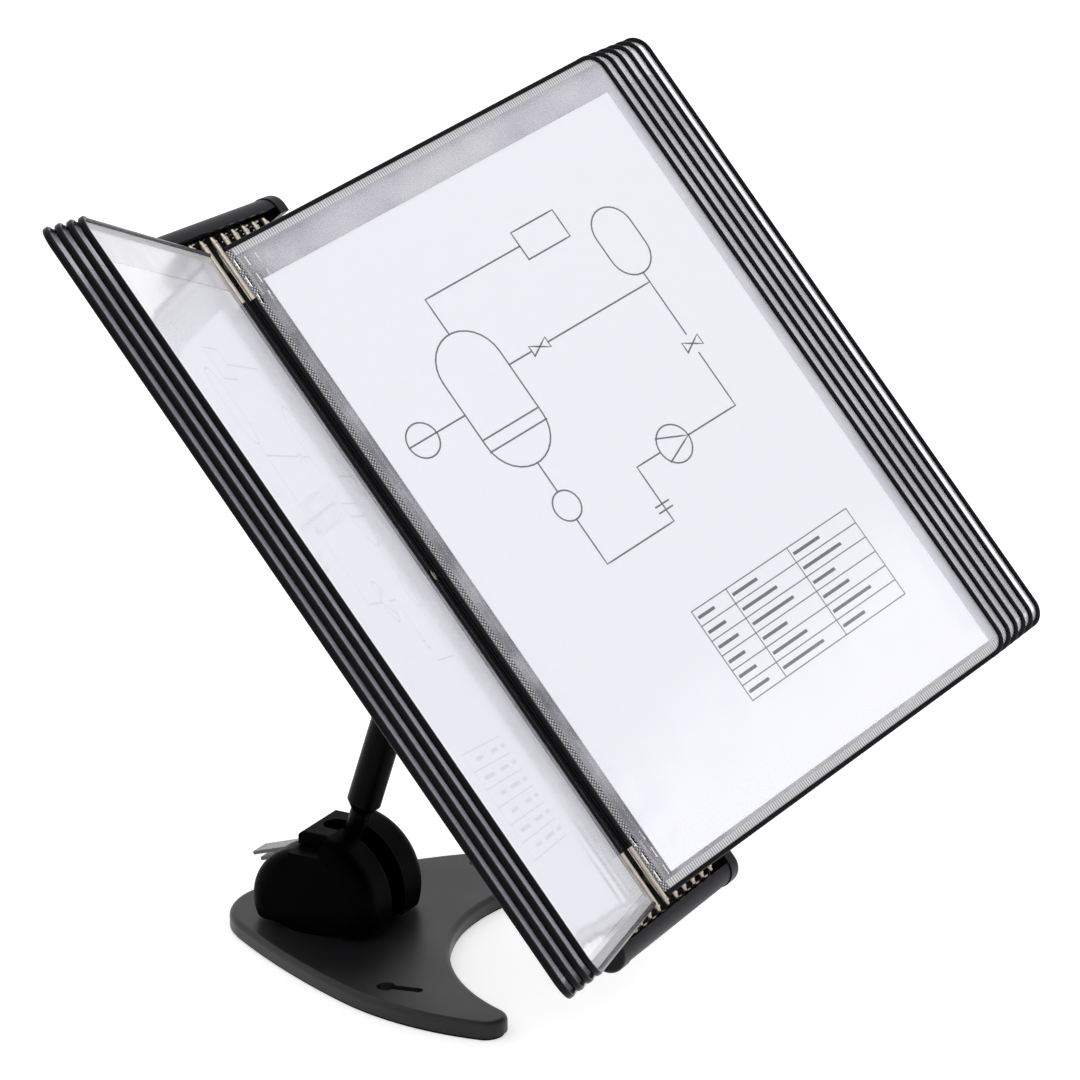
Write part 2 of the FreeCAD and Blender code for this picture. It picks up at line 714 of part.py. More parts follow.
def bracket_cap(end, side):
    start = "bar_half_long" if side == "" else "-bar_half_long - cap_thick"
    dome = bar_half(end, "cap_radius", "cap_thick", start)
    skirt = inner_strip(end, "cap_skirt", start, "cap_thick", "2 * cap_radius",
                        "-bar_centre_back - cap_radius")
    face = (1 if side == "" else -1) * (size("bar_half_long") + size("cap_thick"))
    return rounded(fuse(dome, skirt), size("cap_round"), lambda edge: abs(edge.BoundBox.XMin - face) < 1e-6
                   and abs(edge.BoundBox.XMax - face) < 1e-6)


def hook(end, across):
    """A wire from the bracket's back wall, forward, and round into the pocket's hollow spine."""
    upper = end == "upper"
    height = "hook_height" if upper else "low_hook_height"
    sign = "" if upper else "-"
    wall = "-bar_centre_back - bar_radius + bar_wall + running_gap"
    straight = rod("z", "hook_radius", f"-hook_bend - ({wall})", (across, sign + height, wall))
    tip = rod("y", "hook_radius", f"{height} - hook_bend - hook_tip",
              (across, "hook_tip" if upper else "-low_hook_height + hook_bend", "0"))
    turned = Rotation(Vector(0, 1, 0), -90) if upper else Rotation(Vector(0, 1, 0), -90).multiply(
        Rotation(Vector(1, 0, 0), 180))
    corner = bend("hook_bend", "hook_radius", (across, f"{sign}({height} - hook_bend)", "-hook_bend"), turned)
    ledge = "pocket_half_high + edging_radius + collar_gap" + (" + rod_past" if upper else "")
    collar = rod("y", "collar_radius", "collar_thick",
                 (across, ledge if upper else f"-({ledge}) - collar_thick", "0"))
    return fuse(straight, corner, tip, collar)


def outer_strip():
    """The thick edging of the page's outer edge: it goes round both corners, and tapers off there."""
    wide = size("pocket_wide")
    high = size("pocket_half_high")
    bend_centre = Vector(wide - size("edging_bend"), high - size("edging_bend"), 0)
    end_x = bend_centre.x - size("strip_past_bend")
    outer = size("edging_bend") + size("strip_half_wide")
    inner = size("edging_bend") - size("strip_half_wide")
    low_centre = Vector(bend_centre.x, -bend_centre.y, 0)
    corners = []
    for radius in (outer, inner):
        corners.append([
            Vector(end_x, bend_centre.y + radius, 0), polar(bend_centre, radius, 90),
            polar(bend_centre, radius, 0), polar(low_centre, radius, 0),
            polar(low_centre, radius, -90), Vector(end_x, low_centre.y - radius, 0)])
    edges = []
    for radius, (start, up, right_up, right_low, down, end) in zip((outer, inner), corners):
        edges += [Part.LineSegment(start, up), arc(bend_centre, radius, 90, 0),
                  Part.LineSegment(right_up, right_low), arc(low_centre, radius, 0, -90),
                  Part.LineSegment(down, end)]
    edges += [Part.LineSegment(corners[0][0], corners[1][0]), Part.LineSegment(corners[0][5], corners[1][5])]
    strip = padded("outer_strip", "XY_Plane", edges, "strip_thick", "-strip_thick / 2")
    round_edges(strip, "strip_round", lambda box: box.ZLength < 1e-6)
    return strip


def pocket_shapes():
    """The four pieces of one pocket as it lies flat, with its spine along Y and its page on +X."""
    top = "(pocket_half_high + edging_radius)"
    # The hollow rod stands out of the pocket at the top, where the hook's collar meets it.
    spine = rod("y", "rod_radius", f"2 * {top} + rod_past", ("0", f"-{top}", "0"))
    bores = [rod("y", "hook_radius + running_gap", "rod_bore_depth + rod_past", ("0", start, "0"))
             for start in (f"-{top} - rod_past", f"{top} - rod_bore_depth")]
    eyelet = cut(
        rod("z", "eyelet_radius", "eyelet_thick", ("eyelet_shift", "0", "-sleeve_radius - eyelet_thick")),
        rod("z", "eyelet_hole", "eyelet_thick * 3",
            ("eyelet_shift", "0", "-sleeve_radius - 2 * eyelet_thick")))

    sleeve_low = "-pocket_half_high + sleeve_end"
    sleeve_span = "2 * (pocket_half_high - sleeve_end)"
    sleeve = cut(rod("y", "sleeve_radius", sleeve_span, ("0", sleeve_low, "0")),
                 rod("y", "rod_radius + sleeve_gap", sleeve_span, ("0", sleeve_low, "0")))
    run = "pocket_wide - edging_bend - edging_start"
    edging = [rod("x", "edging_radius", run, ("edging_start", end + "pocket_half_high", "0"))
              for end in ("", "-")]

    left = "(sleeve_radius + film_gap)"
    right = "(pocket_wide - strip_half_wide - film_gap)"
    high = "(pocket_half_high - edging_radius - film_gap)"
    envelope = block((left, f"-{high}", "-film_half_thick"),
                     (f"{right} - {left}", f"2 * {high}", "2 * film_half_thick"))
    corner = size("edging_bend") - size("strip_half_wide") - size("film_gap")
    envelope = rounded(envelope, corner, lambda edge: edge.BoundBox.ZLength > 1
                       and edge.BoundBox.XMin > 100)
    hollow = block((f"{left} + seam_wide", f"-{high} + seam_wide", "-film_half_thick + foil_thick"),
                   (f"{right} - {left} - 2 * seam_wide", f"2 * {high}",
                    "2 * (film_half_thick - foil_thick)"))

    paper = block(("paper_left", "pocket_half_high - edging_radius - paper_top_gap - paper_high",
                   "-paper_thick / 2"), ("paper_wide", "paper_high", "paper_thick"))
    return {
        "spine": [cut(spine, *bores), eyelet],
        "binding": [sleeve, fuse(outer_strip(), *edging)],
        "film": [cut(envelope, hollow)],
        "sheet": [paper],
    }


def pocket_pieces():
    shapes = pocket_shapes()
    for number in range(1, LEFT_POCKETS + RIGHT_POCKETS + 1):
        for piece, solids in shapes.items():
            place(group(*solids), f"pocket_{number:02d}_{piece}", pocket_frame(number))


base_pieces()
hub_pieces()
arm_pieces()
knuckle_pieces()
holder_pieces()
pocket_pieces()

doc.recompute()
for item in doc.Objects:
    if "Invalid" in item.State or "Error" in item.State:
        raise RuntimeError(f"{item.Label} did not compute: {item.State}")
for item in NODES:
    if item.Shape.isNull() or not item.Shape.isValid():
        raise RuntimeError(f"{item.Label} has no valid shape")
for item in NODES:
    item.Shape.exportStep(f"parts/{item.Label}.step")
    box = item.Shape.BoundBox
    print(f"{item.Label:22s} {len(item.Shape.Solids):3d} solids {item.Shape.Volume / 1000:9.2f} cm3"
          f"  x {box.XMin:7.1f} {box.XMax:7.1f}  y {box.YMin:7.1f} {box.YMax:7.1f}"
          f"  z {box.ZMin:7.1f} {box.ZMax:7.1f}")
print(len(NODES), "nodes")
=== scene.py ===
# %% [markdown]
# # A desktop display pocket stand
#
# The real object is a small reading stand. A heavy black crescent carries a swivel hub, a short
# leaning arm carries a frame, and ten clear pockets hang on the frame and turn like the leaves of
# a book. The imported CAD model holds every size, so it comes in first, and all that follows dresses it.

# %% Load the frame
import json
import math

import bmesh
import bpy
from mathutils import Matrix, Vector, noise


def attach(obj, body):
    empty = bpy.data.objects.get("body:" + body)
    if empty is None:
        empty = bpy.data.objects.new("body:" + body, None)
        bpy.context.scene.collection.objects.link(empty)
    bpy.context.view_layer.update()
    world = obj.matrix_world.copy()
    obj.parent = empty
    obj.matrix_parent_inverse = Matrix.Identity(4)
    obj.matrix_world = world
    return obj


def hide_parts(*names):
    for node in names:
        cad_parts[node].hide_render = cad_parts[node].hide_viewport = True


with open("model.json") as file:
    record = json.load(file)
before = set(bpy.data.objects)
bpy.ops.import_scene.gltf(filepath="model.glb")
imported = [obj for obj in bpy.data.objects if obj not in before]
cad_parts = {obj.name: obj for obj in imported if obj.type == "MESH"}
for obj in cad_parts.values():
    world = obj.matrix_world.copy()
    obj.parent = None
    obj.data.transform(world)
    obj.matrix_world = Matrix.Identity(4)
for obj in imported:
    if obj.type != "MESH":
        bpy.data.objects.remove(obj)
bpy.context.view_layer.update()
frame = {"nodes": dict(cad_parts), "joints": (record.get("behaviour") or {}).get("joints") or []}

MM = 0.001

# %% [markdown]
# ## Camera
#
# A camera could be placed by eye, but then nothing lines up for long. Here the corners of the A4
# sheet and of the base gave its place: about 1.6 m away, a third of a metre above the pages, and
# looking down 18 degrees with a long lens, which keeps the far pages almost as large as the near ones.

# %% Camera
CAMERA_PLACE = Vector((-1.43502, -0.48625, 0.66780))
CAMERA_LOOK = Vector((0.91690, 0.25252, -0.30900))
LENS_MM = 126.9

camera_data = bpy.data.cameras.new("reader_camera")
camera_data.sensor_width = 36.0
camera_data.lens = LENS_MM
camera = bpy.data.objects.new("reader_camera", camera_data)
camera.location = CAMERA_PLACE
camera.rotation_euler = CAMERA_LOOK.to_track_quat("-Z", "Y").to_euler()
bpy.context.scene.collection.objects.link(camera)
bpy.context.scene.camera = camera
bpy.context.scene.view_settings.view_transform = "Standard"
# Ten pockets of clear film lie behind each other, so light has to pass many thin layers.
bpy.context.scene.cycles.transparent_max_bounces = 40
print("camera looks down", round(math.degrees(math.asin(-CAMERA_LOOK.z)), 1), "degrees")

# %% [markdown]
# ## Two helpers for materials
#
# A material in Blender is a small network of nodes. One helper adds a node, sets it up and wires it,
# so that each recipe below reads from top to bottom. Colours are written as the hex values that a
# screen shows, and the second helper turns them into the linear light that the renderer works in.

# %% Node and colour helpers
def linear(hex_colour):
    channels = [int(hex_colour[i:i + 2], 16) / 255 for i in (1, 3, 5)]
    return [c / 12.92 if c <= 0.04045 else ((c + 0.055) / 1.055) ** 2.4 for c in channels] + [1.0]


def add(tree, kind, inputs=None, **settings):
    """Add a node; an input gets a value, or a link where it is another node's output."""
    item = tree.nodes.new(kind)
    for name, value in settings.items():
        setattr(item, name, value)
    for name, value in (inputs or {}).items():
        if isinstance(value, bpy.types.NodeSocket):
            tree.links.new(value, item.inputs[name])
        else:
            item.inputs[name].default_value = value
    return item


def start_material(name, shader_inputs):
    """A material whose Principled shader is set up; returns it with its tree and shader."""
    material = bpy.data.materials.new(name)
    material.use_nodes = True
    tree = material.node_tree
    tree.nodes.clear()
    shader = add(tree, "ShaderNodeBsdfPrincipled", shader_inputs)
    add(tree, "ShaderNodeOutputMaterial", {"Surface": shader.outputs["BSDF"]})
    return material, tree, shader


def join(tree, source, target_socket):
    tree.links.new(source, target_socket)


def blend_colours(tree, factor, a, b):
    return add(tree, "ShaderNodeMix", {"Factor": factor, "A": a, "B": b}, data_type="RGBA").outputs["Result"]


print("white paper in linear light:", [round(c, 2) for c in linear("#F4F4FA")])

# %% [markdown]
# ## Light, floor and background
#
# Product pictures of this kind are taken on white, with very large soft lamps. The world gives an
# even light at a plain level, one big softbox overhead gives the shapes a top and a side, and a small
# one near the reader draws soft streaks in the clear film. What the camera, metal and film see of
# the world is plain white. The floor is a wide pale sheet that fades to the same white, and it keeps
# the shadow of the base.

# %% World
WORLD_LIGHT = 0.72


def paint_world():
    world = bpy.data.worlds.new("white_studio")
    bpy.context.scene.world = world
    world.use_nodes = True
    tree = world.node_tree
    tree.nodes.clear()
    path = add(tree, "ShaderNodeLightPath")
    seen = add(tree, "ShaderNodeMath", {0: path.outputs["Is Camera Ray"], 1: path.outputs["Is Glossy Ray"]},
               operation="MAXIMUM")
    seen = add(tree, "ShaderNodeMath", {0: seen.outputs[0], 1: path.outputs["Is Transmission Ray"]},
               operation="MAXIMUM")
    strength = add(tree, "ShaderNodeMapRange", {"Value": seen.outputs[0],
                                                "To Min": WORLD_LIGHT, "To Max": 1.0})
    light = add(tree, "ShaderNodeBackground", {"Color": (1, 1, 1, 1), "Strength": strength.outputs[0]})
    add(tree, "ShaderNodeOutputWorld", {"Surface": light.outputs[0]})


paint_world()
print("world light on the object:", WORLD_LIGHT)


# %% Lamps
def softbox(name, place, towards, width, height, watts):
    lamp = bpy.data.lights.new(name, "AREA")
    lamp.shape = "RECTANGLE"
    lamp.size, lamp.size_y = width, height
    lamp.energy = watts
    item = bpy.data.objects.new(name, lamp)
    item.location = place
    item.rotation_euler = (Vector(towards) - Vector(place)).to_track_quat("-Z", "Y").to_euler()
    bpy.context.scene.collection.objects.link(item)
    return item


softbox("softbox_overhead", (-0.6, -0.5, 2.1), (0, -0.1, 0.1), 2.2, 2.2, 15.0)
softbox("softbox_reader", (0.05, -1.9, 1.25), (0, -0.1, 0.2), 1.0, 0.35, 1.6)


# %% Floor
FLOOR_HALF = 6.0
FLOOR_LIFT = 0.55


def white_floor():
    """A wide sheet. The camera sees it a little brighter than it is lit, so that it ends in white."""
    mesh = bpy.data.meshes.new("floor")
    corners = [(-1, -1), (1, -1), (1, 1), (-1, 1)]
    mesh.from_pydata([(x * FLOOR_HALF, y * FLOOR_HALF, 0) for x, y in corners], [], [(0, 1, 2, 3)])
    floor = bpy.data.objects.new("floor", mesh)
    bpy.context.scene.collection.objects.link(floor)
    material, tree, shader = start_material("paper_roll_matte_white", {
        "Base Color": linear("#F2F2F2"), "Roughness": 0.9, "Specular IOR Level": 0.2,
        "Emission Color": (1, 1, 1, 1)})
    path = add(tree, "ShaderNodeLightPath")
    seen = add(tree, "ShaderNodeMath", {0: path.outputs["Is Camera Ray"], 1: path.outputs["Is Glossy Ray"]},
               operation="MAXIMUM")
    lift = add(tree, "ShaderNodeMath", {0: seen.outputs[0], 1: FLOOR_LIFT}, operation="MULTIPLY")
    join(tree, lift.outputs[0], shader.inputs["Emission Strength"])
    mesh.materials.append(material)
    return floor


white_floor()
print("floor, metres across:", 2 * FLOOR_HALF)

# %% [markdown]
# ## Black finishes
#
# Almost everything but the pages is black, and black surfaces differ only in how they shine. The base
# is steel with a satin powder coat: a soft sheen with a very fine orange peel. The hub is moulded ABS
# with a fine spark-eroded texture, which looks dull from everywhere. The edging is extruded PVC,
# smooth and glossy, and the brackets are black anodised aluminium.

# %% A black finish with a fine texture
PATCH_MM = 35


def textured_black(name, colour, roughness, grain_mm, depth_mm, specular, streak=None):
    """Black with a bump whose grain is given in real millimetres; streak stretches it along an axis."""
    material, tree, shader = start_material(name, {
        "Base Color": linear(colour), "Roughness": roughness, "Specular IOR Level": specular})
    place = add(tree, "ShaderNodeTexCoord").outputs["Object"]
    if streak:
        place = add(tree, "ShaderNodeMapping", {"Vector": place, "Scale": streak}).outputs[0]
    grain = add(tree, "ShaderNodeTexNoise", {"Vector": place, "Scale": 1 / (grain_mm * MM), "Detail": 2.0})
    bump = add(tree, "ShaderNodeBump", {"Height": grain.outputs["Fac"], "Distance": depth_mm * MM,
                                        "Strength": 0.6})
    join(tree, bump.outputs[0], shader.inputs["Normal"])
    # Handling leaves the sheen a little uneven, in patches of a few centimetres.
    patches = add(tree, "ShaderNodeTexNoise", {"Vector": place, "Scale": 1 / (PATCH_MM * MM),
                                               "Detail": 3.0})
    sheen = add(tree, "ShaderNodeMapRange", {"Value": patches.outputs["Fac"],
                                             "From Min": 0.3, "From Max": 0.7,
                                             "To Min": roughness - 0.04, "To Max": roughness + 0.05})
    join(tree, sheen.outputs[0], shader.inputs["Roughness"])
    return material


powder_coat = textured_black("steel_satin_powder_coated_black", "#1B1B1D", 0.38, 0.9, 0.02, 0.30)
moulded_abs = textured_black("abs_moulded_fine_texture_black", "#020203", 0.40, 0.5, 0.02, 0.015)
cap_abs = textured_black("abs_moulded_satin_black", "#060607", 0.36, 0.6, 0.02, 0.14)
lever_abs = textured_black("abs_moulded_gloss_grey", "#4A4B4E", 0.24, 1.2, 0.01, 0.60)
foot_rubber = textured_black("rubber_moulded_matte_black", "#141414", 0.80, 0.7, 0.05, 0.20)
arm_steel = textured_black("steel_tube_black_painted", "#020203", 0.30, 1.1, 0.02, 0.04)
bracket_aluminium = textured_black("aluminium_extruded_black_anodised", "#0D0B14", 0.42, 0.5, 0.02, 0.13,
                                   streak=(0.1, 1, 1))
edging_pvc = textured_black("pvc_extruded_gloss_black", "#040307", 0.24, 3.0, 0.02, 0.10)
print("black finishes:", len([m for m in bpy.data.materials if "black" in m.name]))

# %% [markdown]
# ## Metals
#
# The rods in the spines are drawn stainless steel. Drawing leaves hair-fine lines along the wire and
# a warm, champagne-like shine. The lines are coloured towards a darker grey-brown, which is partly their own
# tone and partly painted shade. The hooks are the same wire, bent, and the screws are zinc plated.

# %% Drawn and plated steel
def bright_metal(name, colour, roughness, line_mm, along):
    material, tree, shader = start_material(name, {"Metallic": 1.0, "Roughness": roughness})
    place = add(tree, "ShaderNodeTexCoord").outputs["Object"]
    lines = add(tree, "ShaderNodeMapping", {"Vector": place, "Scale": along})
    drawn = add(tree, "ShaderNodeTexNoise", {"Vector": lines.outputs[0], "Scale": 1 / (line_mm * MM)})
    sheen = add(tree, "ShaderNodeMapRange", {"Value": drawn.outputs["Fac"], "To Min": roughness - 0.08,
                                             "To Max": roughness + 0.12})
    join(tree, sheen.outputs[0], shader.inputs["Roughness"])
    # the darker colour in the drawn lines is partly the wire's own tone and partly painted shade
    drawn_lines_and_painted_shade = blend_colours(tree, drawn.outputs["Fac"], linear("#857E75"), linear(colour))
    join(tree, drawn_lines_and_painted_shade, shader.inputs["Base Color"])
    return material


rod_steel = bright_metal("stainless_steel_drawn", "#C2BBB0", 0.22, 0.4, (1, 0.08, 0.08))
screw_steel = bright_metal("steel_zinc_plated", "#D4D6DA", 0.30, 0.8, (1, 1, 1))
print("metals:", rod_steel.name, "and", screw_steel.name)

# %% [markdown]
# ## Which CAD node gets which finish
#
# The CAD nodes keep their shapes. Only their material slots are filled here, by name.

# %% Finishes of the CAD nodes
LEFT_COUNT, POCKET_COUNT = 4, 10
FINISHES = {
    "base_plate": powder_coat, "base_pad": foot_rubber, "swivel_bolt": screw_steel,
    "hub_turntable": moulded_abs, "hub_cheek_left": moulded_abs, "hub_cheek_right": moulded_abs,
    "hub_cover": moulded_abs, "hub_fasteners": screw_steel, "clamp_lever": lever_abs,
    "arm_tube": arm_steel, "arm_neck": arm_steel, "arm_head_eye": arm_steel,
    "head_clevis": cap_abs, "head_knob": cap_abs, "spine_rail": bracket_aluminium,
    "upper_bracket": bracket_aluminium, "lower_bracket": bracket_aluminium, "end_caps": cap_abs,
    "holder_fasteners": screw_steel, "hook_pins": rod_steel,
}


def dress(node, material):
    item = frame["nodes"][node]
    item.data.materials.clear()
    item.data.materials.append(material)


for node, material in FINISHES.items():
    dress(node, material)
for number in range(1, POCKET_COUNT + 1):
    dress(f"pocket_{number:02d}_spine", rod_steel)
    dress(f"pocket_{number:02d}_binding", edging_pvc)
print("CAD nodes that keep their shape:", len(FINISHES) + 2 * POCKET_COUNT)

# %% [markdown]
# ## Where each page lies
#
# Every pocket is built flat, with its spine on the Y axis and its page on +X, and is then laid at the
# angle of its stack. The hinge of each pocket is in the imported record, so its place is read from there.

# %% Page frames
HUB_YAW = math.radians(-13)
# The stacks are a little tighter at the outer edge than at the spine, so each page lies a fraction
# of a degree nearer to the one in front of it. The left stack lies flatter than the right one stands.
RIGHT_REST, RIGHT_FAN = 21.4, 0.155
LEFT_REST, LEFT_FAN = 27.0, 0.165
HOLDER_ACROSS = Vector((math.cos(HUB_YAW), math.sin(HUB_YAW), 0))
HINGES = {joint["child"]: joint for joint in frame["joints"]}
PAGE_UP = Vector(HINGES["pocket_01"]["axis"]).normalized()
HOLDER_FACE = HOLDER_ACROSS.cross(PAGE_UP)


def page_frame(number):
    """The matrix that lays a flat pocket on its stack."""
    if number > LEFT_COUNT:
        turn = math.radians(RIGHT_REST + RIGHT_FAN * (number - LEFT_COUNT - 1))
    else:
        turn = math.radians(180 - LEFT_REST - LEFT_FAN * (LEFT_COUNT - number))
    outward = HOLDER_ACROSS * math.cos(turn) + HOLDER_FACE * math.sin(turn)
    face = outward.cross(PAGE_UP)
    place = Vector(HINGES[f"pocket_{number:02d}"]["pos_m"])
    return Matrix((
        (outward.x, PAGE_UP.x, face.x, place.x),
        (outward.y, PAGE_UP.y, face.y, place.y),
        (outward.z, PAGE_UP.z, face.z, place.z),
        (0, 0, 0, 1)))


print("page up:", [round(v, 3) for v in PAGE_UP])

# %% [markdown]
# ## Clear film
#
# Each pocket is two foils of clear polypropylene, welded along the spine and the bottom and open at
# the top. Cast film is smooth but never flat: it bulges over the sheet and puckers at the welds, and
# that is what its reflections show. Where paper lies behind it, it is nearly invisible. Where nothing
# is behind it, it is a milky grey. The weld itself is rolled with a fine diamond knurl.

# %% Sizes of a pocket, in millimetres
PAPER_LEFT, PAPER_WIDE, PAPER_HIGH = 10.35, 210.0, 297.0
PAPER_TOP_GAP, PAPER_LOW_GAP, PAPER_RIGHT_GAP = 17.4, 5.3, 6.1
EDGING_RADIUS, EDGING_BEND, SLEEVE_RADIUS = 1.05, 8.0, 1.75
STRIP_HALF_WIDE, FILM_GAP = 1.05, 0.05
SEAM_WIDE, WELD_WIDE = 3.2, 3.4
PAGE_WIDE = PAPER_LEFT + PAPER_WIDE + PAPER_RIGHT_GAP + EDGING_RADIUS
HALF_HIGH = (PAPER_HIGH + PAPER_TOP_GAP + PAPER_LOW_GAP) / 2 + EDGING_RADIUS
PAPER_TOP = HALF_HIGH - EDGING_RADIUS - PAPER_TOP_GAP
PAPER_LOW = PAPER_TOP - PAPER_HIGH
FILM_LEFT = SLEEVE_RADIUS + FILM_GAP
FILM_RIGHT = PAGE_WIDE - STRIP_HALF_WIDE - FILM_GAP
FILM_HIGH = HALF_HIGH - EDGING_RADIUS - FILM_GAP
FILM_CORNER = EDGING_BEND - STRIP_HALF_WIDE - FILM_GAP
print("pocket in mm:", round(PAGE_WIDE, 1), "x", round(2 * HALF_HIGH, 1))


# %% [markdown]
# ## A foil as a thin closed sheet
#
# Foil and paper have a thickness, if a small one. A flat plane could stand for them, but light then
# passes one surface where it should pass two. So both are closed sheets on a grid, with a lower skin
# just under the upper one, and the grid gets extra lines where an edge or a slot has to be sharp.

# %% A thin closed sheet on a grid
def grid_lines(start, end, step, extra=()):
    """Evenly spaced lines from start to end, with the extra ones in place of any that crowd them."""
    count = max(1, round((end - start) / step))
    lines = [start + (end - start) * i / count for i in range(count + 1)]
    lines = [v for v in lines if all(abs(v - e) > step / 3 for e in extra) or v in (start, end)]
    return sorted(set(lines + [e for e in extra if start < e < end]))


def thin_sheet(bm, xs, ys, surface, thick, kept=lambda x, y: True):
    """A closed sheet: its upper skin follows surface(x, y), which gives a point, and its lower skin
    lies thick below. Cells whose centre is not kept are left out, with walls round the hole."""
    upper = [[bm.verts.new(surface(x, y)) for y in ys] for x in xs]
    lower = [[bm.verts.new(v.co - Vector((0, 0, thick))) for v in column] for column in upper]
    cells = {(i, j) for i in range(len(xs) - 1) for j in range(len(ys) - 1)
             if kept((xs[i] + xs[i + 1]) / 2, (ys[j] + ys[j + 1]) / 2)}
    for i, j in sorted(cells):
        bm.faces.new([upper[i][j], upper[i + 1][j], upper[i + 1][j + 1], upper[i][j + 1]])
        bm.faces.new([lower[i][j], lower[i][j + 1], lower[i + 1][j + 1], lower[i + 1][j]])
        for a, b, beside in (((i, j), (i + 1, j), (i, j - 1)), ((i + 1, j), (i + 1, j + 1), (i + 1, j)),
                             ((i + 1, j + 1), (i, j + 1), (i, j + 1)), ((i, j + 1), (i, j), (i - 1, j))):
            if beside not in cells:
                bm.faces.new([upper[a[0]][a[1]], lower[a[0]][a[1]], lower[b[0]][b[1]], upper[b[0]][b[1]]])


def finished_mesh(name, bm, materials, matrix):
    """Turn a bmesh in millimetres into an object that lies where matrix says."""
    bmesh.ops.delete(bm, geom=[v for v in bm.verts if not v.link_faces], context="VERTS")
    bmesh.ops.scale(bm, vec=(MM, MM, MM), verts=bm.verts)
    bmesh.ops.recalc_face_normals(bm, faces=bm.faces)
    mesh = bpy.data.meshes.new(name)
    bm.to_mesh(mesh)
    bm.free()
    for material in materials:
        mesh.materials.append(material)
    item = bpy.data.objects.new(name, mesh)
    item.matrix_world = matrix
    bpy.context.scene.collection.objects.link(item)
    return item


# %% [markdown]
# ## The shape of the film
#
# A simulation of air and weld tension could inflate each pocket. The bulge is under a millimetre,
# though, and a sum of smooth waves gives the same soft streaks: broad ones over the page, short
# puckers along the bottom weld, ripples beside the spine and one small fold in the low corner.

# %% How the film bulges
FULLEST = 0.85      # less than the edging's radius, so the pockets beside it stay clear
OPEN_TOP = 6.0      # the open top edge bulges as if the weld were this far above it
FADE = 14.0
BROAD, PUCKER, RIPPLE = (75, 110), (11, 34), (20, 9)
PUCKER_REACH, RIPPLE_REACH = 30, 16
FOLD_PLACE, FOLD_SIZE = (7, 21), (2.4, 9)


def bulge(x, y, number):
    """How far the foil stands above the middle of its pocket, in millimetres."""
    right, up = x - FILM_LEFT, y + FILM_HIGH
    inward = min(right, FILM_RIGHT - x, up, FILM_HIGH - y + OPEN_TOP)
    edge = min(1.0, max(0.0, (inward - SEAM_WIDE) / FADE))
    loose = edge * edge * (3 - 2 * edge)
    seed = 7.3 * number
    broad = noise.noise(Vector((x / BROAD[0], y / BROAD[1], seed)))
    pucker = noise.noise(Vector((x / PUCKER[0], y / PUCKER[1], seed + 3))) * math.exp(-up / PUCKER_REACH)
    ripple = noise.noise(Vector((x / RIPPLE[0], y / RIPPLE[1], seed + 5))) * math.exp(-right / RIPPLE_REACH)
    fold = math.exp(-((right - FOLD_PLACE[0]) / FOLD_SIZE[0]) ** 2
                    - ((up - FOLD_PLACE[1]) / FOLD_SIZE[1]) ** 2)
    height = 0.30 + loose * (0.28 + 0.30 * broad + 0.60 * pucker + 0.38 * ripple) + 0.35 * fold
    return FULLEST * math.tanh(height / FULLEST)


def film_surface(number, side):
    def surface(x, y):
        limit = FILM_RIGHT
        into = abs(y) - (FILM_HIGH - FILM_CORNER)
        if into > 0:
            limit -= FILM_CORNER - math.sqrt(max(0.0, FILM_CORNER ** 2 - into ** 2))
        across = FILM_LEFT + (x - FILM_LEFT) * (limit - FILM_LEFT) / (FILM_RIGHT - FILM_LEFT)
        height = bulge(across, y, number + 0.5 * side)
        return Vector((across, y, height if side > 0 else -height + FOIL_THICK))
    return surface


FOIL_THICK = 0.14
SLOT_LONG, SLOT_WIDE, SLOT_STEP, SLOT_COUNT = 4.6, 1.3, 8.6, 3
SLOT_LEFT = FILM_LEFT + 1.2
SLOT_ROWS = [sign * (FILM_HIGH - 7 - SLOT_STEP * i) for sign in (1, -1) for i in range(SLOT_COUNT)]


def outside_slots(x, y):
    in_row = any(abs(y - row) < SLOT_LONG / 2 for row in SLOT_ROWS)
    return not (in_row and SLOT_LEFT < x < SLOT_LEFT + SLOT_WIDE)


def make_film(number, material):
    bm = bmesh.new()
    xs = grid_lines(FILM_LEFT, FILM_RIGHT, 4.0, [SLOT_LEFT, SLOT_LEFT + SLOT_WIDE, FILM_LEFT + SEAM_WIDE,
                                                FILM_LEFT + 6, FILM_LEFT + 8.5, FILM_RIGHT - 1.5])
    slot_ends = [row + end * SLOT_LONG / 2 for row in SLOT_ROWS for end in (-1, 1)]
    ys = grid_lines(-FILM_HIGH, FILM_HIGH, 4.0, slot_ends + [side * (FILM_HIGH - step) for side in (-1, 1)
                                                             for step in (0.3, 1.0, 2.0, 3.2, 4.8)])
    for side in (1, -1):
        thin_sheet(bm, xs, ys, film_surface(number, side), FOIL_THICK, outside_slots)
    film = finished_mesh(f"pocket_{number:02d}_clear_film", bm, [material], page_frame(number))
    for face in film.data.polygons:
        face.use_smooth = True
    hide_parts(f"pocket_{number:02d}_film")
    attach(film, f"pocket_{number:02d}")
    return film


# %% [markdown]
# ## The look of the film
#
# Glass-like refraction would be true to the foil, but through ten pockets it turns dark and noisy.
# Here the film lets light straight through by a share: most of it over the sheet, less in the empty
# margins, and least in the welds. The share drops where one looks along the film, as on the real one.

# %% Film material
def inside(tree, value, low, high, soft):
    """1 between low and high, 0 outside, with a soft edge, all in metres."""
    rise = add(tree, "ShaderNodeMapRange", {"Value": value, "From Min": low - soft, "From Max": low + soft})
    fall = add(tree, "ShaderNodeMapRange", {"Value": value, "From Min": high - soft, "From Max": high + soft,
                                            "To Min": 1.0, "To Max": 0.0})
    return add(tree, "ShaderNodeMath", {0: rise.outputs[0], 1: fall.outputs[0]},
               operation="MULTIPLY").outputs[0]


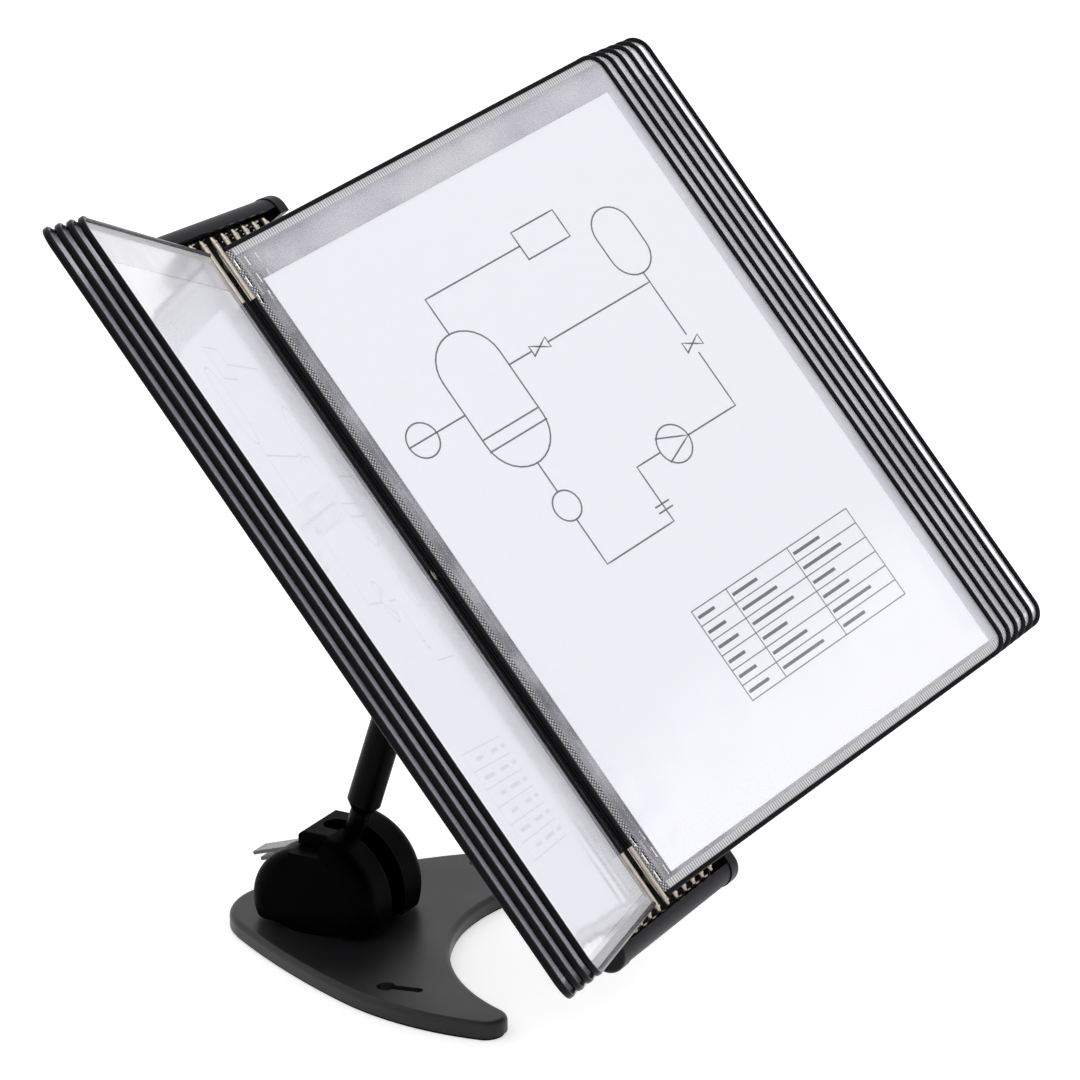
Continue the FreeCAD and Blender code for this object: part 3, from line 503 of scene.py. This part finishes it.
def fine_lines(tree, coordinates, pitch_mm, turn):
    """Parallel lines of a real pitch, turned by an angle about the page's normal; 0 to 1."""
    turned = add(tree, "ShaderNodeMapping", {"Vector": coordinates, "Rotation": (0, 0, turn),
                                             "Scale": (1 / (pitch_mm * MM),) * 3})
    return add(tree, "ShaderNodeTexWave", {"Vector": turned.outputs[0], "Scale": math.pi / 10}).outputs["Fac"]


def clear_film_material():
    material, tree, shader = start_material("polypropylene_cast_film_clear", {
        "Roughness": 0.11, "Specular IOR Level": 0.35})
    coordinates = add(tree, "ShaderNodeTexCoord").outputs["Object"]
    xyz = add(tree, "ShaderNodeSeparateXYZ", {0: coordinates})
    x, y = xyz.outputs["X"], xyz.outputs["Y"]
    over_paper = add(tree, "ShaderNodeMath", {
        0: inside(tree, x, PAPER_LEFT * MM, (PAPER_LEFT + PAPER_WIDE) * MM, 0.0003),
        1: inside(tree, y, PAPER_LOW * MM, PAPER_TOP * MM, 0.0003)}, operation="MULTIPLY").outputs[0]
    # Haze in the empty margins drifts over a few centimetres. Beside the spine it is darkened with painted
    # shade, standing for the films and black edging that lie behind it.
    drift = add(tree, "ShaderNodeTexNoise", {"Vector": coordinates, "Scale": 1 / (26 * MM), "Detail": 3.0})
    clouds = add(tree, "ShaderNodeMapRange", {"Value": drift.outputs["Fac"],
                                              "From Min": 0.32, "From Max": 0.68})
    painted_shade_by_spine = add(tree, "ShaderNodeMapRange", {"Value": x, "From Min": 8 * MM, "From Max": 46 * MM,
                                                "To Min": 1.0, "To Max": 0.0})
    bright = blend_colours(tree, clouds.outputs[0], linear("#EDECF4"), linear("#F8F8FC"))
    # painted shade: the margin colour turns darker grey towards the spine
    spine_shaded_haze = blend_colours(tree, clouds.outputs[0], linear("#B4B3BD"), linear("#F0EFF6"))
    margin = blend_colours(tree, painted_shade_by_spine.outputs[0], bright, spine_shaded_haze)
    haze = add(tree, "ShaderNodeMapRange", {"Value": clouds.outputs[0], "To Min": 0.12, "To Max": 0.20})
    # The seam's knurl: two sets of fine lines that cross. The real pitch is 0.6 mm; 1.2 mm shows.
    seam = inside(tree, x, 0.0, (FILM_LEFT + SEAM_WIDE) * MM, 0.0002)
    crossed = add(tree, "ShaderNodeMath", {0: fine_lines(tree, coordinates, 1.2, math.pi / 4),
                                           1: fine_lines(tree, coordinates, 1.2, -math.pi / 4)},
                  operation="MULTIPLY").outputs[0]
    # The top and bottom welds are ribbed across the edge. The real pitch is 0.6 mm; 1.3 mm shows.
    weld = add(tree, "ShaderNodeMath", {
        0: inside(tree, y, (FILM_HIGH - WELD_WIDE) * MM, 1.0, 0.0002),
        1: inside(tree, y, -1.0, (-FILM_HIGH + WELD_WIDE) * MM, 0.0002)}, operation="MAXIMUM").outputs[0]
    ribs = fine_lines(tree, coordinates, 1.3, 0.0)
    knurled = blend_colours(tree, crossed, linear("#55545C"), linear("#FFFFFF"))
    ribbed = blend_colours(tree, ribs, linear("#A9A8B2"), linear("#FFFFFF"))
    off_paper = blend_colours(tree, seam, blend_colours(tree, weld, margin, ribbed), knurled)
    join(tree, blend_colours(tree, over_paper, off_paper, (1, 1, 1, 1)), shader.inputs["Base Color"])
    # Over the sheet only the shine is left: little from the front, more where one looks along it.
    slant = add(tree, "ShaderNodeLayerWeight", {"Blend": 0.5}).outputs["Facing"]
    steep = add(tree, "ShaderNodeMath", {0: slant, 1: 5.0}, operation="POWER")
    shine = add(tree, "ShaderNodeMapRange", {"Value": steep.outputs[0], "To Min": 0.035, "To Max": 0.45})
    welded = add(tree, "ShaderNodeMath", {0: seam, 1: weld}, operation="MAXIMUM")
    cloudy = add(tree, "ShaderNodeMix", {"Factor": welded.outputs[0], "A": haze.outputs[0], "B": 0.60})
    # A look along the film passes more of it, so it turns milky there.
    long_way = add(tree, "ShaderNodeMath", {0: slant, 1: 3.0}, operation="POWER")
    misty = add(tree, "ShaderNodeMix", {"Factor": long_way.outputs[0], "A": cloudy.outputs[0], "B": 0.85})
    alpha = add(tree, "ShaderNodeMix", {"Factor": over_paper, "A": misty.outputs[0], "B": shine.outputs[0]})
    join(tree, alpha.outputs[0], shader.inputs["Alpha"])
    join(tree, over_paper, shader.inputs["Metallic"])
    relief = add(tree, "ShaderNodeMath", {0: add(tree, "ShaderNodeMath", {0: seam, 1: crossed},
                                                 operation="MULTIPLY").outputs[0],
                                          1: add(tree, "ShaderNodeMath", {0: weld, 1: ribs},
                                                 operation="MULTIPLY").outputs[0]}, operation="MAXIMUM")
    bump = add(tree, "ShaderNodeBump", {"Height": relief.outputs[0], "Distance": 0.12 * MM, "Strength": 0.8})
    join(tree, bump.outputs[0], shader.inputs["Normal"])
    return material


clear_film = clear_film_material()
print("film material:", clear_film.name)

# %% [markdown]
# ## Printed sheets
#
# Office paper is matte and a little blue-white. The sheets carry a plain ruled table with bars for
# its entries, and a line diagram from common flow-chart shapes. They could be a picture, but thin
# raised strokes stay sharp at any distance and need no image.

# %% Paper and ink
def paper_material():
    material, tree, shader = start_material("office_paper_uncoated_white", {
        "Roughness": 0.85, "Specular IOR Level": 0.15})
    place = add(tree, "ShaderNodeTexCoord").outputs["Object"]
    fibre = add(tree, "ShaderNodeTexNoise", {"Vector": place, "Scale": 1 / (0.8 * MM), "Detail": 4.0})
    tone = blend_colours(tree, fibre.outputs["Fac"], linear("#EFEFF7"), linear("#F4F4FA"))
    join(tree, tone, shader.inputs["Base Color"])
    bump = add(tree, "ShaderNodeBump", {"Height": fibre.outputs["Fac"], "Distance": 0.02 * MM,
                                        "Strength": 0.4})
    join(tree, bump.outputs[0], shader.inputs["Normal"])
    return material


def toner_material(name, colour):
    """Fused toner: a plastic powder with a faint sheen, slightly uneven at the scale of its grains."""
    material, tree, shader = start_material(name, {
        "Base Color": linear(colour), "Roughness": 0.6, "Specular IOR Level": 0.3})
    place = add(tree, "ShaderNodeTexCoord").outputs["Object"]
    grain = add(tree, "ShaderNodeTexNoise", {"Vector": place, "Scale": 1 / (0.5 * MM)})
    bump = add(tree, "ShaderNodeBump", {"Height": grain.outputs["Fac"], "Distance": 0.01 * MM,
                                        "Strength": 0.3})
    join(tree, bump.outputs[0], shader.inputs["Normal"])
    return material


office_paper = paper_material()
toner = toner_material("toner_fused_grey", "#5E5E64")
show_through = toner_material("toner_seen_through_paper", "#D6D7DE")
print("paper and ink:", office_paper.name, toner.name, show_through.name)

# %% [markdown]
# ## Strokes of the print
#
# Each line of the print is a list of points in millimetres from the sheet's low left corner, with a
# width. The same strokes lie on both faces: dark on the front, and pale on the back, where the print
# only shows through.

# %% Strokes on a sheet
DIAGRAM_LINE, TABLE_LINE, TABLE_BAR = 0.75, 0.5, 1.5


def circle(x, y, radius, start=0, end=360):
    count = max(8, round(abs(end - start) / 12))
    angles = [math.radians(start + (end - start) * i / count) for i in range(count + 1)]
    return [(x + radius * math.cos(a), y + radius * math.sin(a)) for a in angles]


def box_lines(x, y, wide, high):
    return [(x, y), (x + wide, y), (x + wide, y + high), (x, y + high), (x, y)]


def capsule(x, y, wide, high):
    """A vessel with round ends, standing up."""
    radius = wide / 2
    upper, lower = y + high / 2 - radius, y - high / 2 + radius
    return circle(x, upper, radius, 0, 180) + circle(x, lower, radius, 180, 360) + [(x + radius, upper)]


def valve(x, y, size):
    return [(x - size, y - size / 2), (x + size, y + size / 2), (x + size, y - size / 2),
            (x - size, y + size / 2), (x - size, y - size / 2)]


def diagram_strokes():
    """A made-up flow of two tanks, a pump and some valves, in millimetres from the sheet's low left."""
    strokes = [
        capsule(62, 205, 34, 66), circle(62, 150, 7),
        circle(128, 148, 9), [(121, 142), (137, 148), (121, 154)],
        [(62, 172), (62, 157)], [(62, 143), (62, 120), (104, 120), (104, 148), (119, 148)],
        [(137, 148), (168, 148), (168, 176)],
        [(168, 186), (168, 214), (140, 214)], valve(168, 181, 5), valve(98, 214, 5),
        capsule(168, 236, 22, 34), [(103, 214), (140, 214)], [(93, 214), (79, 214)],
        [(62, 238), (62, 256), (120, 256)], box_lines(120, 249, 26, 14),
        [(45, 192), (79, 192)], [(45, 186), (79, 186)], [(28, 205), (45, 205)], circle(20, 205, 8),
        [(12, 205), (28, 205)], [(168, 219), (168, 214)],
        [(100, 126), (108, 126)], [(100, 129), (108, 129)],
    ]
    return [(stroke, DIAGRAM_LINE) for stroke in strokes]


def table_strokes():
    """A ruled table with bars in place of its entries."""
    left, low, widths, row, rows = 84.0, 38.0, (22.0, 40.0, 40.0), 7.6, 6
    strokes = []
    for i in range(rows + 1):
        strokes.append(([(left, low + i * row), (left + sum(widths), low + i * row)], TABLE_LINE))
    at = left
    for wide in (0, *widths):
        at += wide
        strokes.append(([(at, low), (at, low + rows * row)], TABLE_LINE))
    lengths = (0.62, 0.44, 0.7, 0.53, 0.36, 0.58, 0.49, 0.66, 0.4)
    for i in range(rows):
        at = left
        for j, wide in enumerate(widths):
            bar = (wide - 4) * lengths[(3 * i + 2 * j) % len(lengths)]
            level = low + (i + 0.5) * row
            strokes.append(([(at + 2, level), (at + 2 + bar, level)], TABLE_BAR))
            at += wide
    return strokes


def sheet_height(x, y, number):
    """Office paper in a pocket lies in very shallow waves."""
    return 0.09 * noise.noise(Vector((x / 60, y / 80, 2.1 * number)))


def add_stroke(bm, points, wide, number, side, lift, index):
    """A thin closed ribbon along the points, that follows the sheet."""
    fine = []
    for a, b in zip(points, points[1:]):
        a, b = Vector(a), Vector(b)
        count = max(1, math.ceil((b - a).length / 5))
        fine += [a.lerp(b, i / count) for i in range(count)]
    fine.append(Vector(points[-1]))
    rings = []
    for i, point in enumerate(fine):
        along = (fine[min(i + 1, len(fine) - 1)] - fine[max(i - 1, 0)]).normalized()
        across = Vector((-along.y, along.x)) * wide / 2
        if i in (0, len(fine) - 1):
            point = point + along * wide / 2 * (1 if i else -1)
        ring = []
        for sign, level in ((1, 1), (-1, 1), (-1, 0), (1, 0)):
            x = PAPER_LEFT + point.x + sign * across.x
            y = PAPER_LOW + point.y + sign * across.y
            z = sheet_height(x, y, number) + side * (PAPER_THICK / 2 + level * lift)
            ring.append(bm.verts.new((x, y, z)))
        rings.append(ring)
    faces = [bm.faces.new(rings[0]), bm.faces.new(rings[-1][::-1])]
    for a, b in zip(rings, rings[1:]):
        faces += [bm.faces.new([a[k], a[(k + 1) % 4], b[(k + 1) % 4], b[k]]) for k in range(4)]
    for face in faces:
        face.material_index = index


PAPER_THICK = 0.12
INK_LIFT = 0.02


def make_sheet(number):
    bm = bmesh.new()
    xs = grid_lines(PAPER_LEFT, PAPER_LEFT + PAPER_WIDE, 7.0)
    ys = grid_lines(PAPER_LOW, PAPER_TOP, 9.0)
    thin_sheet(bm, xs, ys, lambda x, y: Vector((x, y, sheet_height(x, y, number) + PAPER_THICK / 2)),
               PAPER_THICK)
    for points, wide in diagram_strokes() + table_strokes():
        add_stroke(bm, points, wide, number, 1, INK_LIFT, 1)
        add_stroke(bm, points, wide, number, -1, INK_LIFT, 2)
    printed = finished_mesh(f"pocket_{number:02d}_printed_sheet", bm, [office_paper, toner, show_through],
                            page_frame(number))
    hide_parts(f"pocket_{number:02d}_sheet")
    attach(printed, f"pocket_{number:02d}")
    return printed


for number in range(1, POCKET_COUNT + 1):
    film = make_film(number, clear_film)
    printed = make_sheet(number)
print("film faces:", len(film.data.polygons), "sheet faces:", len(printed.data.polygons))
